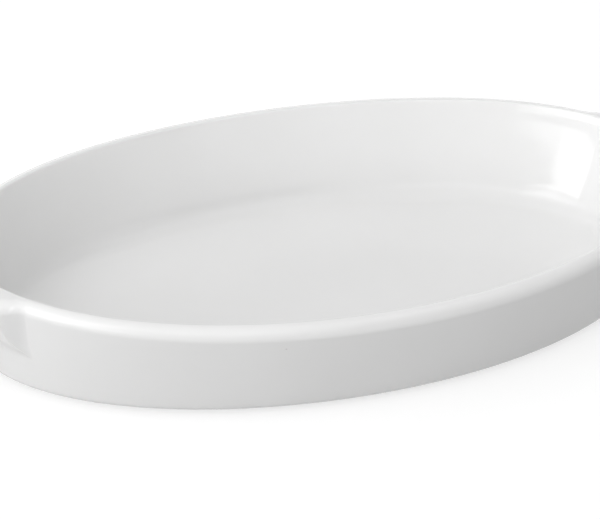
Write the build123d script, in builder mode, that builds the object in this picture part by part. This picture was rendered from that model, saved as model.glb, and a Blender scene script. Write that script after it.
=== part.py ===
from build123d import *
import math
import os

# Oval gratin dish of glazed porcelain, with an ear to lift it by at each end of its long axis.
# Millimetres. +X runs along the dish, +Z is up, and the origin is on the table under the middle.

# The bowl, measured over the outside of its rim
bowl_length = 280.0
bowl_width = 147.2
side_height = 41.2
rim_wall = 6.0
outer_draft = 12.5
inner_draft = 16.5
floor_thickness = 5.0
base_radius = 4.5
cove_radius = 12.0

# The rim: a broad roll outside, a tight one inside, and a gentle rise to both ends
end_rise = 3.2
rim_outer_radius = 4.2
rim_inner_radius = 1.4

# The ears, flush with the rim: each a tab of elliptical outline carried by a haunch down the wall
ear_reach = 18.0
ear_width = 69.5
ear_draft = 9.0
ear_centre_inset = 22.0
ear_thickness = 8.0
haunch_reach = 2.6
haunch_depth = 26.0
ear_edge_radius = 2.0
ear_root_radius = 3.0

# Where an ear is parted from the bowl: this far off the wall
ear_land = 0.8

# The unglazed foot ring and the hollow that it encloses
foot_height = 1.4
foot_width = 4.5
foot_inset = 5.0
foot_draft = 8.0
foot_bevel = 0.4
hollow_depth = 0.7
hollow_inset = 4.0
hollow_slope = 3.0

# How far cuts run past what they cut, and how near counts as lying on a surface
overrun = 5.0
touching = 0.02

half_length = bowl_length / 2
half_width = bowl_width / 2
end_height = side_height + end_rise
blank_height = end_height + end_rise + overrun
floor_height = foot_height + floor_thickness

# The rim's side view is one long arc, lowest at the middle, that passes end_height at both ends
saddle_radius = (half_length**2 + end_rise**2) / (2 * end_rise)

ear_centre = half_length - ear_centre_inset
tab_underside = end_height - ear_thickness
haunch_foot = end_height - haunch_depth
hidden_foot = haunch_foot - overrun


def batter(height, draft):
    """How far a wall of this draft has leant in at a height, against the rim of the long sides."""
    return (side_height - height) * math.tan(math.radians(draft))


def oval(height, inset):
    """The bowl's rim ellipse, drawn in by inset, as a face at a height."""
    with BuildSketch(Plane.XY.offset(height)) as outline:
        Ellipse(half_length - inset, half_width - inset)
    return outline.sketch


def lobe(height, growth):
    """The right ear's plan ellipse, let out by growth, as a face at a height."""
    with BuildSketch(Plane.XY.offset(height)) as outline:
        with Locations((ear_centre, 0)):
            Ellipse(ear_reach + ear_centre_inset + growth, ear_width / 2 + growth)
    return outline.sketch


def ear_growth(height):
    """How much wider the ear's flanks are than its rim outline at a height: less below it, by their draft."""
    return (height - end_height) * math.tan(math.radians(ear_draft))


# The haunch leans out from the wall at its foot to haunch_reach beyond the rim under the tab.
# Its line is carried on below the foot, inside the wall, so that the two cross cleanly.
haunch_foot_inset = batter(haunch_foot, outer_draft)
haunch_lean = (haunch_foot_inset + haunch_reach) / (tab_underside - haunch_foot)
hidden_inset = haunch_foot_inset + haunch_lean * overrun

with BuildPart() as clearance:
    add(lobe(hidden_foot, overrun))
    extrude(amount=tab_underside - hidden_foot)
    add(oval(hidden_foot, hidden_inset))
    add(oval(tab_underside, -haunch_reach))
    loft(ruled=True, mode=Mode.SUBTRACT)

# One ear: flanks and haunch first, then their corners and the tab's lower edge are rounded
with BuildPart() as ear:
    add(lobe(hidden_foot, ear_growth(hidden_foot)))
    add(lobe(blank_height, ear_growth(blank_height)))
    loft(ruled=True)
    add(clearance.part, mode=Mode.SUBTRACT)
    levels = ear.edges().group_by(Axis.Z)
    fillet(levels[1] + levels[2], ear_edge_radius)

# The solid that hollows the bowl: a drafted oval with a deep cove round its floor
with BuildPart() as cavity:
    add(oval(floor_height, rim_wall + batter(floor_height, inner_draft)))
    add(oval(blank_height, rim_wall + batter(blank_height, inner_draft)))
    loft(ruled=True)
    fillet(cavity.edges().group_by(Axis.Z)[0], cove_radius)

# The shallow hollow under the floor, inside the foot ring
hollow_rim = foot_inset + foot_width + hollow_inset + batter(foot_height, outer_draft)
with BuildPart() as hollow:
    add(oval(foot_height, hollow_rim))
    add(oval(foot_height + hollow_depth, hollow_rim + hollow_slope))
    loft(ruled=True)

# The whole glazed body in one: wall, ears, saddle-shaped rim, cove, and every edge rounded
with BuildPart() as dish:
    add(oval(foot_height, batter(foot_height, outer_draft)))
    add(oval(blank_height, batter(blank_height, outer_draft)))
    loft(ruled=True)
    wall_face = dish.faces().filter_by(GeomType.PLANE, reverse=True)[0]
    add(ear.part)
    mirror(ear.part, about=Plane.YZ)
    with Locations((0, 0, side_height + saddle_radius)):
        Cylinder(saddle_radius, bowl_width + 2 * overrun, rotation=(90, 0, 0), mode=Mode.SUBTRACT)
    ear_band = dish.edges().filter_by_position(Axis.Z, haunch_foot - touching, tab_underside)
    fillet(ear_band.filter_by(lambda edge: wall_face.distance_to(edge @ 0.5) < touching), ear_root_radius)
    fillet(dish.edges().group_by(Axis.Z)[0], base_radius)
    add(cavity.part, mode=Mode.SUBTRACT)
    add(hollow.part, mode=Mode.SUBTRACT)
    rim_face = dish.faces().filter_by(GeomType.CYLINDER).sort_by(SortBy.AREA)[-1]
    fillet(rim_face.outer_wire().edges(), rim_outer_radius)
    rim_face = dish.faces().filter_by(GeomType.CYLINDER).sort_by(SortBy.AREA)[-1]
    fillet(rim_face.inner_wires()[0].edges(), rim_inner_radius)

# The wall's own outline, let out by the land: inside it is the bowl, outside it are the ears
with BuildPart() as parting:
    add(oval(0, batter(0, outer_draft) - ear_land))
    add(oval(blank_height, batter(blank_height, outer_draft) - ear_land))
    loft(ruled=True)

with BuildPart() as bowl:
    add(dish.part)
    add(parting.part, mode=Mode.INTERSECT)

with BuildPart() as both_ears:
    add(dish.part)
    add(parting.part, mode=Mode.SUBTRACT)

with BuildPart() as ear_left:
    add(both_ears.solids().sort_by(Axis.X)[0])

with BuildPart() as ear_right:
    add(both_ears.solids().sort_by(Axis.X)[-1])

# The bare foot: an oval ring, drafted on both sides, its resting edges ground off at a bevel
ring_outer = foot_inset + batter(foot_height, outer_draft)
ring_inner = ring_outer + foot_width
ring_lean = foot_height * math.tan(math.radians(foot_draft))
bevel_lean = ring_lean * (foot_height - foot_bevel) / foot_height
with BuildPart() as foot_ring:
    add(oval(0, ring_outer + ring_lean + foot_bevel))
    add(oval(foot_bevel, ring_outer + bevel_lean))
    add(oval(foot_height, ring_outer))
    loft(ruled=True)
    add(oval(0, ring_inner - ring_lean - foot_bevel))
    add(oval(foot_bevel, ring_inner - bevel_lean))
    add(oval(foot_height, ring_inner))
    loft(ruled=True, mode=Mode.SUBTRACT)

os.makedirs("parts", exist_ok=True)

bowl.part.label = "bowl"
export_step(bowl.part, "parts/bowl.step")

ear_left.part.label = "ear_left"
export_step(ear_left.part, "parts/ear_left.step")

ear_right.part.label = "ear_right"
export_step(ear_right.part, "parts/ear_right.step")

foot_ring.part.label = "foot_ring"
export_step(foot_ring.part, "parts/foot_ring.step")
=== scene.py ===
import bpy
import math
import numpy as np
from mathutils import Matrix, Vector


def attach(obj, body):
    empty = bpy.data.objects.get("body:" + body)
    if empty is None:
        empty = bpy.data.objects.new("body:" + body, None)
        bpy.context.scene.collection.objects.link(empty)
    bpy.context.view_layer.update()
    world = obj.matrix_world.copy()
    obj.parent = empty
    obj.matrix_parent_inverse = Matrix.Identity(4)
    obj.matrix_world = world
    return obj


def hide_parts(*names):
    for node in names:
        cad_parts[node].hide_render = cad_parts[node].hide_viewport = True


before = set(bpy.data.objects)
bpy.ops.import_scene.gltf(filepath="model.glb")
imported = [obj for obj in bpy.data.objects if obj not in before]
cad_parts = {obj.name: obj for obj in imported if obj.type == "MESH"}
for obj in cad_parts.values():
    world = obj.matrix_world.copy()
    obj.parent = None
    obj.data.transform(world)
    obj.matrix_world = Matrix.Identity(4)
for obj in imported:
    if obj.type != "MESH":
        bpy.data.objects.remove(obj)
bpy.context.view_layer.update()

MM = 0.001

# Sizes of the dish in millimetres, as in the model's source, but for the rim ellipse and the end rise,
# which are trimmed a little to keep the skin inside the model, and the ear's edge and root, which are tighter
HALF_L, HALF_W = 139.8, 73.4
SIDE_H, RISE = 41.2, 3.15
RIM_WALL, FLOOR_T = 6.0, 5.0
OUT_TAN, IN_TAN = math.tan(math.radians(12.5)), math.tan(math.radians(16.5))
BASE_R, ROLL_R, LIP_R = 4.5, 4.2, 1.4
EAR_REACH, EAR_W, EAR_INSET, EAR_T = 18.0, 69.5, 22.0, 8.0
EAR_TAN = math.tan(math.radians(9.0))
HAUNCH_REACH, HAUNCH_DEPTH, EAR_EDGE_R, ROOT = 2.6, 26.0, 1.1, 2.1
FOOT_H, FOOT_INSET, FOOT_W = 1.4, 5.0, 4.5
HOLLOW_D, HOLLOW_INSET, HOLLOW_SLOPE = 0.7, 4.0, 3.0

END_H = SIDE_H + RISE
SADDLE_R = (HALF_L**2 + RISE**2) / (2 * RISE)
TAB_Z, HAUNCH_Z, FLOOR_Z = END_H - EAR_T, END_H - HAUNCH_DEPTH, FOOT_H + FLOOR_T
EAR_X = HALF_L - EAR_INSET

# Seen in the photo's reflections: the haunch's fuller profile (how far it grows, over what height, and
# where it springs from the wall) and the part of the ear's width in which the plain slope turns into it
FULL, FULL_H, SPRING_Z = 5.4, 5.6, 20.75
SLOPE_Y, BLEND_Y = 17.0, 11.0
# The haunch's foot blends more widely into the wall below this height, fully so FOOT_BLEND further down
FOOT_ROOT, FOOT_TOP, FOOT_BLEND = 1.2, 26.0, 4.0
# How much the inner wall is brought in towards its foot, from CUP_TOP down, and where the cove takes over from it
HOLLOWING, CUP_TOP, COVE_TOP = 0.0024, 40.3, 12.5

# The ear is carried this far inside the wall, from EAR_START up, so that the two blend cleanly
EAR_START, BURIED, FAR_INSIDE, NO_EAR = 9.0, 4.0, -9.0, -50.0
# Least height left between the tab's underside and the rim's roll, and where the haunch's slope is read
# to round its corner: this far below, carried on SLOPE_SIDE times as far
TAB_GAP, SLOPE_STEP, SLOPE_SIDE = 1.2, 1.5, 4
# A line never counts as cutting the surface more askew than this cosine; the haunch's corner is near square
LEAST_COS, HAUNCH_STRETCH = 0.35, 1.1
# Sides long enough for the arcs that start from them, the rounds of the hollow under the floor, and the
# height over which the lip eases into the inner wall
HOLLOW_SIDE, COVE_SIDE, HOLLOW_R, EASE_H = 8.0, 30.0, 3.0, 4.0
# The rings that close the mesh under the floor and on it, as shares of the last section's oval
UNDER_RINGS, FLOOR_RINGS = (0.15, 0.35, 0.6, 0.8), (0.88, 0.7, 0.45, 0.2)


def wall(z):
    """How far beyond the rim ellipse the outer wall stands at a height."""
    return -(SIDE_H - z) * OUT_TAN


def inner(z):
    """How far beyond the rim ellipse the inner wall stands at a height, with its plain draft."""
    return -RIM_WALL - (SIDE_H - z) * IN_TAN


def cup(z):
    """The inner wall, brought in a little more the lower it goes, so that it flows into the cove."""
    return inner(z) - HOLLOWING * np.maximum(CUP_TOP - z, 0)**2


def saddle(x):
    """The rim's height: one long arc, lowest at the middle."""
    return SIDE_H + SADDLE_R - np.sqrt(SADDLE_R**2 - x * x)


def soft_max(a, b, k):
    """The larger of two, blended over a width k where they are close."""
    h = np.maximum(k - np.abs(a - b), 0) / k
    return np.maximum(a, b) + h * h * k / 4


def lines():
    """Section lines round the dish, close together where the ears leave the wall."""
    q = np.concatenate([np.arange(0, 19, 1.0), np.arange(19, 23, 0.5), np.arange(23, 32, 0.2),
                        np.arange(32, 38, 0.6), np.arange(38, 90, 1.25), [90.0]])
    half = np.concatenate([q, 180 - q[-2::-1]])
    return np.radians(np.concatenate([half, 360 - half[-2:0:-1]]))


def lobe(c, s, z):
    """How far beyond the rim ellipse the ear's own ellipse lies at a height, along each section line."""
    grown = (z - END_H) * EAR_TAN
    c, p, q = np.abs(c), EAR_REACH + EAR_INSET + grown, EAR_W / 2 + grown
    a = c**2 / p**2 + s**2 / q**2
    b = (HALF_L * c - EAR_X) * c / p**2 + HALF_W * s**2 / q**2
    k = (HALF_L * c - EAR_X)**2 / p**2 + (HALF_W * s)**2 / q**2 - 1
    disc = b * b - a * k
    return np.maximum(np.where(disc > 0, (-b + np.sqrt(np.maximum(disc, 0))) / a, NO_EAR), FAR_INSIDE)


def haunch(y, z):
    """How far beyond the rim ellipse the haunch stands: a plain slope in the middle of the ear, and
    fuller towards its flanks, where it springs from the wall at a clear angle and then turns up."""
    slope = (HAUNCH_REACH - wall(HAUNCH_Z)) / (TAB_Z - HAUNCH_Z)
    lean = wall(HAUNCH_Z) + (z - HAUNCH_Z) * slope
    full = wall(z) + FULL * (1 - np.exp(-(z - SPRING_Z) / FULL_H))
    u = np.clip((np.abs(y) - SLOPE_Y) / BLEND_Y, 0, 1)
    u = u * u * (3 - 2 * u)
    return lean * (1 - u) + full * u


def arc(before, here, after, radius, stretch, steps, room=(0.48, 0.48)):
    """A corner of every section, rounded. stretch is how much wider than square the line cuts the surface,
    and room the shares of the two sides that the arc may use."""
    f = np.stack([1 / stretch, np.ones_like(stretch)], 1)
    p, a, b = here * f, (before - here) * f, (after - here) * f
    la, lb = np.maximum(np.hypot(*a.T), 1e-6), np.maximum(np.hypot(*b.T), 1e-6)
    a, b = a / la[:, None], b / lb[:, None]
    turn = np.arccos(np.clip(-(a * b).sum(1), -1, 1))
    reach = np.maximum(radius * np.tan(turn / 2), 0.12)
    reach = np.minimum(reach, np.minimum(room[0] * la, room[1] * lb))[:, None]
    # a cubic curve; its inner points for a circle, or a third of the way where the corner is all but flat
    k = 1 - 4 / 3 * np.tan(turn / 4) / np.tan(np.maximum(turn, 0.02) / 2)
    k = np.where(turn < 0.02, 1 / 3, k)[:, None]
    u = np.linspace(0, 1, steps)[None, :, None]
    q = [v[:, None] for v in (p + a * reach, p + a * reach * k, p + b * reach * k, p + b * reach)]
    out = (1 - u)**3 * q[0] + 3 * (1 - u)**2 * u * q[1] + 3 * (1 - u) * u * u * q[2] + u**3 * q[3]
    return out / f[:, None]


def between(p, q, n):
    """n points spaced evenly between two on every section, without the two."""
    u = (np.arange(1, n + 1) / (n + 1))[None, :, None]
    return p[:, None] * (1 - u) + q[:, None] * u


def sections():
    """Each section line's outline from under the floor, over the rim and down to the cooking floor."""
    t = lines()
    c, s = np.cos(t), np.sin(t)
    one = np.ones_like(t)
    pair = lambda g, z: np.stack([g * one, z * one], 1)
    z_rim = saddle((HALF_L + soft_max(wall(END_H), lobe(c, s, END_H), ROOT)) * c)
    ear = lobe(c, s, z_rim)
    g_rim = soft_max(wall(z_rim), ear, ROOT)
    flank = np.clip((ear - wall(z_rim) + ROOT) / (2 * ROOT), 0, 1)
    x, y = (HALF_L + g_rim) * c, (HALF_W + g_rim) * s
    dx, dy = np.roll(x, -1) - np.roll(x, 1), np.roll(y, -1) - np.roll(y, 1)
    stretch = 1 / np.clip((dy * c - dx * s) / np.hypot(dx, dy), LEAST_COS, 1)
    plain = np.hypot(HALF_W * c, HALF_L * s) / (HALF_W * c * c + HALF_L * s * s)
    lean = np.arctan((1 - flank) * OUT_TAN + flank * EAR_TAN)
    z_roll = z_rim - ROLL_R * np.tan(np.pi / 4 + lean / 2) * np.cos(lean)

    # the ear alone, from inside the wall: up the haunch, along the tab and up its edge
    z3 = np.minimum(TAB_Z, z_roll - TAB_GAP)
    y_wall = HALF_W * s
    # z2 is where the haunch meets the lobe, found by halving between z_low and the tab
    z_low = 12.0
    z2, step = (z_low + z3) / 2, (z3 - z_low) / 4
    for _ in range(30):
        z2 = np.clip(z2 + np.where(haunch(y_wall, z2) < lobe(c, s, z2), step, -step), z_low, z3)
        step = step / 2
    start = pair(wall(EAR_START) - BURIED, EAR_START)
    under = np.stack([haunch(y_wall, z2), z2], 1)
    below = np.stack([haunch(y_wall, z2 - SLOPE_STEP), z2 - SLOPE_STEP], 1)
    edge, top = np.stack([lobe(c, s, z3), z3], 1), np.stack([lobe(c, s, z_roll), z_roll], 1)
    turn = arc(under + (below - under) * SLOPE_SIDE, under, edge, EAR_EDGE_R, one * HAUNCH_STRETCH, 9)
    tab = arc(under, edge, top, EAR_EDGE_R, stretch, 9)
    rows = between(start, turn[:, 0], 22)
    rows[..., 0] = np.maximum(haunch(y_wall[:, None], rows[..., 1]), wall(rows[..., 1]) - BURIED)
    run = np.concatenate([rows, turn, between(turn[:, -1], tab[:, 0], 14), tab,
                          between(tab[:, -1], top, 5)], axis=1)
    low_root = ROOT + FOOT_ROOT * np.clip((FOOT_TOP - run[..., 1]) / FOOT_BLEND, 0, 1)
    run[..., 0] = soft_max(wall(run[..., 1]), run[..., 0], low_root)

    # the underside, with its shallow hollow, and the round of the base
    ring_in = wall(FOOT_H) - FOOT_INSET - FOOT_W - HOLLOW_INSET
    h1, h2 = pair(ring_in - HOLLOW_SLOPE, FOOT_H + HOLLOW_D), pair(ring_in, FOOT_H)
    h0, base = h1 - [HOLLOW_SIDE, 0.0], pair(wall(FOOT_H), FOOT_H)
    low = np.concatenate([arc(h0, h1, h2, HOLLOW_R, plain, 4), arc(h1, h2, base, HOLLOW_R, plain, 4),
                          arc(h2, base, run[:, 0], BASE_R, plain, 11, (0.6, 0.9))], axis=1)

    # the rim's broad roll, its tight inner edge, the inner wall and the cove
    r0 = np.stack([soft_max(wall(z_roll), top[:, 0], ROOT), z_roll], 1)
    r1 = np.stack([g_rim, z_rim], 1)
    z_lip = saddle((HALF_L + inner(z_rim)) * c)
    r2 = np.stack([inner(z_lip), z_lip], 1)
    r3 = pair(inner(FLOOR_Z), FLOOR_Z)
    fall = IN_TAN + 2 * HOLLOWING * (CUP_TOP - COVE_TOP)
    foot = pair(cup(COVE_TOP) - fall * (COVE_TOP - FLOOR_Z), FLOOR_Z)
    cove_turn = math.pi / 2 - math.atan(fall)
    cove_r = (COVE_TOP - FLOOR_Z) * math.sqrt(1 + fall**2) / math.tan(cove_turn / 2)
    roll = arc(r0, r1, r2, ROLL_R, stretch, 21, (1.0, 0.875))
    lip = arc(r1, r2, r3, LIP_R, plain, 9, (0.12, 0.5))
    cove = arc(foot + [fall * COVE_SIDE, COVE_SIDE], foot, foot - [COVE_SIDE, 0.0], cove_r, one, 18)
    side = between(lip[:, -1], cove[:, 0], 14)
    height = side[..., 1]
    ease = np.clip((lip[:, -1:, 1] - height) / EASE_H, 0, 1)
    side[..., 0] = side[..., 0] * (1 - ease) + cup(height) * ease
    sec = np.concatenate([low, run, roll, between(roll[:, -1], lip[:, 0], 2), lip,
                          side, cove], axis=1)
    return c, s, sec


def skin(name):
    """The glazed body as one closed mesh of rings; under the floor and on it, rings shrink to the middle."""
    c, s, sec = sections()
    n, m = sec.shape[:2]   # section lines, points on each
    rings = [np.stack([(HALF_L + sec[:, j, 0]) * c, (HALF_W + sec[:, j, 0]) * s, sec[:, j, 1]], 1)
             for j in range(m)]
    shrunk = lambda ring, f: ring * [f, f, 1.0]
    rings = ([shrunk(rings[0], f) for f in UNDER_RINGS] + rings
             + [shrunk(rings[-1], f) for f in FLOOR_RINGS])
    verts = np.vstack(rings + [[[0, 0, rings[0][0, 2]]], [[0, 0, rings[-1][0, 2]]]]) * MM
    faces = []
    for j in range(len(rings) - 1):
        for i in range(n):
            k = (i + 1) % n
            faces.append((j * n + i, j * n + k, (j + 1) * n + k, (j + 1) * n + i))
    first, last, end = len(verts) - 2, len(verts) - 1, (len(rings) - 1) * n
    for i in range(n):
        k = (i + 1) % n
        faces += [(first, k, i), (last, end + i, end + k)]
    me = bpy.data.meshes.new(name)
    me.from_pydata(verts.tolist(), [], faces)
    me.polygons.foreach_set("use_smooth", [True] * len(me.polygons))
    me.update()
    ob = bpy.data.objects.new(name, me)
    bpy.context.scene.collection.objects.link(ob)
    return ob


dish = skin("dish_body")


def material(name):
    """An empty material with one principled shader."""
    m = bpy.data.materials.new(name)
    m.use_nodes = True
    nt = m.node_tree
    nt.nodes.clear()
    out = nt.nodes.new("ShaderNodeOutputMaterial")
    bsdf = nt.nodes.new("ShaderNodeBsdfPrincipled")
    nt.links.new(bsdf.outputs[0], out.inputs[0])
    return m, nt, bsdf


def glaze():
    """White glaze: a faintly cloudy tone, pinholes and a slight orange peel under the gloss."""
    m, nt, bsdf = material("porcelain_glaze")
    bsdf.inputs["Roughness"].default_value = 0.05
    bsdf.inputs["IOR"].default_value = 1.5
    bsdf.inputs["Coat Weight"].default_value = 0.1
    bsdf.inputs["Coat Roughness"].default_value = 0.03
    co = nt.nodes.new("ShaderNodeTexCoord")
    cloud = nt.nodes.new("ShaderNodeTexNoise")
    cloud.inputs["Scale"].default_value = 14.0
    cloud.inputs["Detail"].default_value = 3.0
    nt.links.new(co.outputs["Object"], cloud.inputs["Vector"])
    ramp = nt.nodes.new("ShaderNodeValToRGB")
    ramp.color_ramp.elements[0].position = 0.3
    ramp.color_ramp.elements[0].color = (0.855, 0.855, 0.852, 1)
    ramp.color_ramp.elements[1].position = 0.7
    ramp.color_ramp.elements[1].color = (0.885, 0.885, 0.883, 1)
    nt.links.new(cloud.outputs[0], ramp.inputs[0])
    # a few faint pinholes, about a millimetre across
    speck = nt.nodes.new("ShaderNodeTexVoronoi")
    speck.inputs["Scale"].default_value = 45.0
    nt.links.new(co.outputs["Object"], speck.inputs["Vector"])
    spot = nt.nodes.new("ShaderNodeValToRGB")
    spot.color_ramp.elements[0].position = 0.018
    spot.color_ramp.elements[0].color = (0.7, 0.69, 0.68, 1)
    spot.color_ramp.elements[1].position = 0.03
    spot.color_ramp.elements[1].color = (1, 1, 1, 1)
    nt.links.new(speck.outputs["Distance"], spot.inputs[0])
    mix = nt.nodes.new("ShaderNodeMix")
    mix.data_type = "RGBA"
    mix.blend_type = "MULTIPLY"
    mix.inputs["Factor"].default_value = 1.0
    nt.links.new(ramp.outputs[0], mix.inputs[6])
    nt.links.new(spot.outputs[0], mix.inputs[7])
    nt.links.new(mix.outputs[2], bsdf.inputs["Base Color"])
    peel = nt.nodes.new("ShaderNodeTexNoise")
    peel.inputs["Scale"].default_value = 60.0
    peel.inputs["Detail"].default_value = 2.0
    nt.links.new(co.outputs["Object"], peel.inputs["Vector"])
    bump = nt.nodes.new("ShaderNodeBump")
    bump.inputs["Strength"].default_value = 0.05
    bump.inputs["Distance"].default_value = 0.0006
    nt.links.new(peel.outputs[0], bump.inputs["Height"])
    nt.links.new(bump.outputs[0], bsdf.inputs["Normal"])
    return m


def bare():
    """Unglazed porcelain: dull and finely grained."""
    m, nt, bsdf = material("bare_porcelain")
    bsdf.inputs["Roughness"].default_value = 0.7
    co = nt.nodes.new("ShaderNodeTexCoord")
    grain = nt.nodes.new("ShaderNodeTexNoise")
    grain.inputs["Scale"].default_value = 900.0
    grain.inputs["Detail"].default_value = 4.0
    nt.links.new(co.outputs["Object"], grain.inputs["Vector"])
    ramp = nt.nodes.new("ShaderNodeValToRGB")
    ramp.color_ramp.elements[0].color = (0.72, 0.71, 0.69, 1)
    ramp.color_ramp.elements[1].color = (0.84, 0.83, 0.81, 1)
    nt.links.new(grain.outputs[0], ramp.inputs[0])
    nt.links.new(ramp.outputs[0], bsdf.inputs["Base Color"])
    bump = nt.nodes.new("ShaderNodeBump")
    bump.inputs["Strength"].default_value = 0.4
    bump.inputs["Distance"].default_value = 0.0001
    nt.links.new(grain.outputs[0], bump.inputs["Height"])
    nt.links.new(bump.outputs[0], bsdf.inputs["Normal"])
    return m


GLAZE, BARE = glaze(), bare()
dish.data.materials.append(GLAZE)
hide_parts("bowl", "ear_left", "ear_right")
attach(dish, "root")
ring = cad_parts["foot_ring"]
ring.data.materials.clear()
ring.data.materials.append(BARE)

# The table: its diffuse colour takes the dish's shadow, and it glows only to the camera and in reflections
bpy.ops.mesh.primitive_plane_add(size=6.0, location=(0, 0, 0))
floor = bpy.context.object
floor.name = "table"
m, nt, bsdf = material("table_white")
bsdf.inputs["Base Color"].default_value = (0.42, 0.42, 0.42, 1)
bsdf.inputs["Roughness"].default_value = 0.7
bsdf.inputs["Specular IOR Level"].default_value = 0.0
path = nt.nodes.new("ShaderNodeLightPath")
seen = path.outputs["Is Camera Ray"]
for ray in ("Is Glossy Ray", "Is Transmission Ray"):
    either = nt.nodes.new("ShaderNodeMath")
    either.operation = "MAXIMUM"
    nt.links.new(seen, either.inputs[0])
    nt.links.new(path.outputs[ray], either.inputs[1])
    seen = either.outputs[0]
white = nt.nodes.new("ShaderNodeMath")
white.operation = "MULTIPLY"
white.inputs[1].default_value = 0.66
nt.links.new(seen, white.inputs[0])
bsdf.inputs["Emission Color"].default_value = (1, 1, 1, 1)
nt.links.new(white.outputs[0], bsdf.inputs["Emission Strength"])
floor.data.materials.append(m)

# Camera, fitted to the photograph's outlines
F_PX, EL, AZ, DIST = 2600.0, math.radians(35.0), math.radians(-23.447), 0.9692
YAW, PITCH, ROLL = math.radians(-0.4731), math.radians(0.7478), math.radians(4.2746)
# straight at the dish's middle from this side, then turned by YAW, PITCH and ROLL
back = Vector((math.sin(AZ) * math.cos(EL), -math.cos(AZ) * math.cos(EL), math.sin(EL)))
eye = back * DIST + Vector((0, 0, FOOT_H * MM))
fwd = -back
right = fwd.cross(Vector((0, 0, 1))).normalized()
up = right.cross(fwd)
fwd = (fwd + math.tan(YAW) * right + math.tan(PITCH) * up).normalized()
right = fwd.cross(Vector((0, 0, 1))).normalized()
up = right.cross(fwd)
r3 = math.cos(ROLL) * right + math.sin(ROLL) * up
u3 = -math.sin(ROLL) * right + math.cos(ROLL) * up
cam = bpy.data.objects.new("camera", bpy.data.cameras.new("camera"))
bpy.context.scene.collection.objects.link(cam)
cam.matrix_world = Matrix(((r3.x, u3.x, -fwd.x, eye.x), (r3.y, u3.y, -fwd.y, eye.y),
                           (r3.z, u3.z, -fwd.z, eye.z), (0, 0, 0, 1)))
cam.data.sensor_width = 36.0
cam.data.lens = F_PX * 36.0 / 600
cam.data.clip_start = 0.01
bpy.context.scene.camera = cam

# Light
world = bpy.data.worlds.new("studio")
world.use_nodes = True
bpy.context.scene.world = world
world.node_tree.nodes["Background"].inputs[0].default_value = (1, 1, 1, 1)
world.node_tree.nodes["Background"].inputs[1].default_value = 0.05


def lamp(name, loc, target, size, power):
    """A soft rectangular panel of light."""
    la = bpy.data.lights.new(name, "AREA")
    la.shape = "RECTANGLE"
    la.size, la.size_y = size
    la.energy = power
    ob = bpy.data.objects.new(name, la)
    ob.location = loc
    ob.rotation_euler = (Vector(target) - Vector(loc)).to_track_quat("-Z", "Y").to_euler()
    bpy.context.scene.collection.objects.link(ob)


lamp("window", (-1.17, -0.96, 1.32), (-0.38, -0.347, 1.32), (1.02, 2.6), 7.4)
lamp("left", (-1.55, -0.35, 0.75), (0, 0, 0.02), (2.2, 1.6), 15.0)
lamp("low", (-1.15, -1.05, 0.2), (0, 0, 0.2), (1.2, 0.35), 2.3)
lamp("front", (-0.6, -1.7, 1.1), (0, 0, 0.02), (2.4, 1.6), 7.8)
lamp("card", (0.0, -1.6, 0.22), (0, 0, 0.22), (1.77, 0.4), 0.9)
lamp("fill", (1.25, -0.25, 0.81), (0, -0.25, 0.81), (2.6, 1.6), 6.4)
lamp("rear", (0.2, 1.2, 1.3), (0, 0, 0.02), (2.4, 1.6), 8.0)
lamp("top", (-0.3, -0.3, 1.6), (0, 0, 0.02), (2.4, 2.4), 14.2)
lamp("strip", (0.65, 1.5, 0.35), (0, 0, 0.02), (3.0, 0.6), 8.5)

bpy.context.scene.view_settings.view_transform = "Standard"
